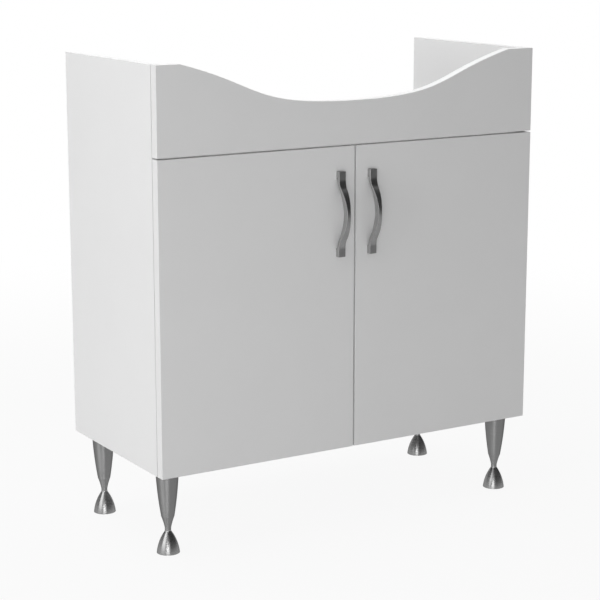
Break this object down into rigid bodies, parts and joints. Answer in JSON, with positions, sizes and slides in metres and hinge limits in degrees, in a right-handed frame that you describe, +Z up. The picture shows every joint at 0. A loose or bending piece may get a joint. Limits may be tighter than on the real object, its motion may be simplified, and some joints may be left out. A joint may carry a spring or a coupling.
{
  "type": "washbasin base cabinet",
  "caption": "Free-standing washbasin base cabinet with hinged doors, bow handles, a wavy cut-out fascia and turned adjustable legs.",
  "frame": {"origin": "on the floor, under the middle of the box that holds the whole cabinet with its handles", "axes": "+Z up, +X to the right seen from the front, doors face -Y"},
  "size_m": [0.7, 0.3486, 0.768],
  "materials": {
    "board": "white melamine-faced board, satin",
    "dowel": "plain beech",
    "fastener": "zinc plated",
    "hinge": "nickel plated",
    "handle": "dark satin nickel",
    "leg_column": "satin grey",
    "foot": "brushed",
    "glide": "moulded, matt",
    "buffer": "soft translucent"
  },
  "bodies": {
    "carcass": {"side_panel_left": "board", "side_panel_right": "board", "bottom_panel": "board", "fascia_panel": "board", "fascia_rail": "board", "rear_rail_upper": "board", "rear_rail_lower": "board", "dowels": "dowel", "cam_locks": "fastener", "cam_bolts": "fastener", "fascia_screws": "fastener", "leg_bolts": "fastener", "tee_nuts": "fastener", "leg_column_front_left": "leg_column", "leg_column_front_right": "leg_column", "leg_column_rear_left": "leg_column", "leg_column_rear_right": "leg_column", "hinge_plates_left": "hinge", "hinge_arms_left": "hinge", "plate_screws_left": "fastener", "hinge_adjusters_left": "fastener", "arm_pins_left": "hinge", "hinge_plates_right": "hinge", "hinge_arms_right": "hinge", "plate_screws_right": "fastener", "hinge_adjusters_right": "fastener", "arm_pins_right": "hinge"},
    "left_links": {"hinge_links_left": "hinge"},
    "left_door": {"door_left": "board", "handle_left": "handle", "handle_screws_left": "fastener", "hinge_cups_left": "hinge", "cup_screws_left": "fastener", "cup_pins_left": "hinge", "door_buffers_left": "buffer"},
    "right_links": {"hinge_links_right": "hinge"},
    "right_door": {"door_right": "board", "handle_right": "handle", "handle_screws_right": "fastener", "hinge_cups_right": "hinge", "cup_screws_right": "fastener", "cup_pins_right": "hinge", "door_buffers_right": "buffer"},
    "foot_front_left": {"foot_front_left": "foot", "foot_stud_front_left": "fastener", "foot_glide_front_left": "glide"},
    "foot_front_right": {"foot_front_right": "foot", "foot_stud_front_right": "fastener", "foot_glide_front_right": "glide"},
    "foot_rear_left": {"foot_rear_left": "foot", "foot_stud_rear_left": "fastener", "foot_glide_rear_left": "glide"},
    "foot_rear_right": {"foot_rear_right": "foot", "foot_stud_rear_right": "fastener", "foot_glide_rear_right": "glide"}
  },
  "joints": [
    {"name": "left_link_swing", "type": "hinge", "parent": "carcass", "child": "left_links", "pos_m": [-0.32, -0.1181, 0.38], "axis": [0, 0, 1], "range_deg": [0, 43.75]},
    {"name": "left_door_swing", "type": "hinge", "parent": "left_links", "child": "left_door", "pos_m": [-0.341, -0.13345, 0.38], "axis": [0, 0, -1], "range_deg": [0, 138.7]},
    {"name": "right_link_swing", "type": "hinge", "parent": "carcass", "child": "right_links", "pos_m": [0.32, -0.1181, 0.38], "axis": [0, 0, -1], "range_deg": [0, 43.75]},
    {"name": "right_door_swing", "type": "hinge", "parent": "right_links", "child": "right_door", "pos_m": [0.341, -0.13345, 0.38], "axis": [0, 0, 1], "range_deg": [0, 138.7]},
    {"name": "foot_front_left_level", "type": "slide", "parent": "carcass", "child": "foot_front_left", "axis": [0, 0, -1], "range_m": [0, 0.014]},
    {"name": "foot_front_right_level", "type": "slide", "parent": "carcass", "child": "foot_front_right", "axis": [0, 0, -1], "range_m": [0, 0.014]},
    {"name": "foot_rear_left_level", "type": "slide", "parent": "carcass", "child": "foot_rear_left", "axis": [0, 0, -1], "range_m": [0, 0.014]},
    {"name": "foot_rear_right_level", "type": "slide", "parent": "carcass", "child": "foot_rear_right", "axis": [0, 0, -1], "range_m": [0, 0.014]}
  ],
  "couplings": [
    {"joint": "left_link_swing", "follows": "left_door_swing", "ratio": 0.31507},
    {"joint": "right_link_swing", "follows": "right_door_swing", "ratio": 0.31507}
  ]
}
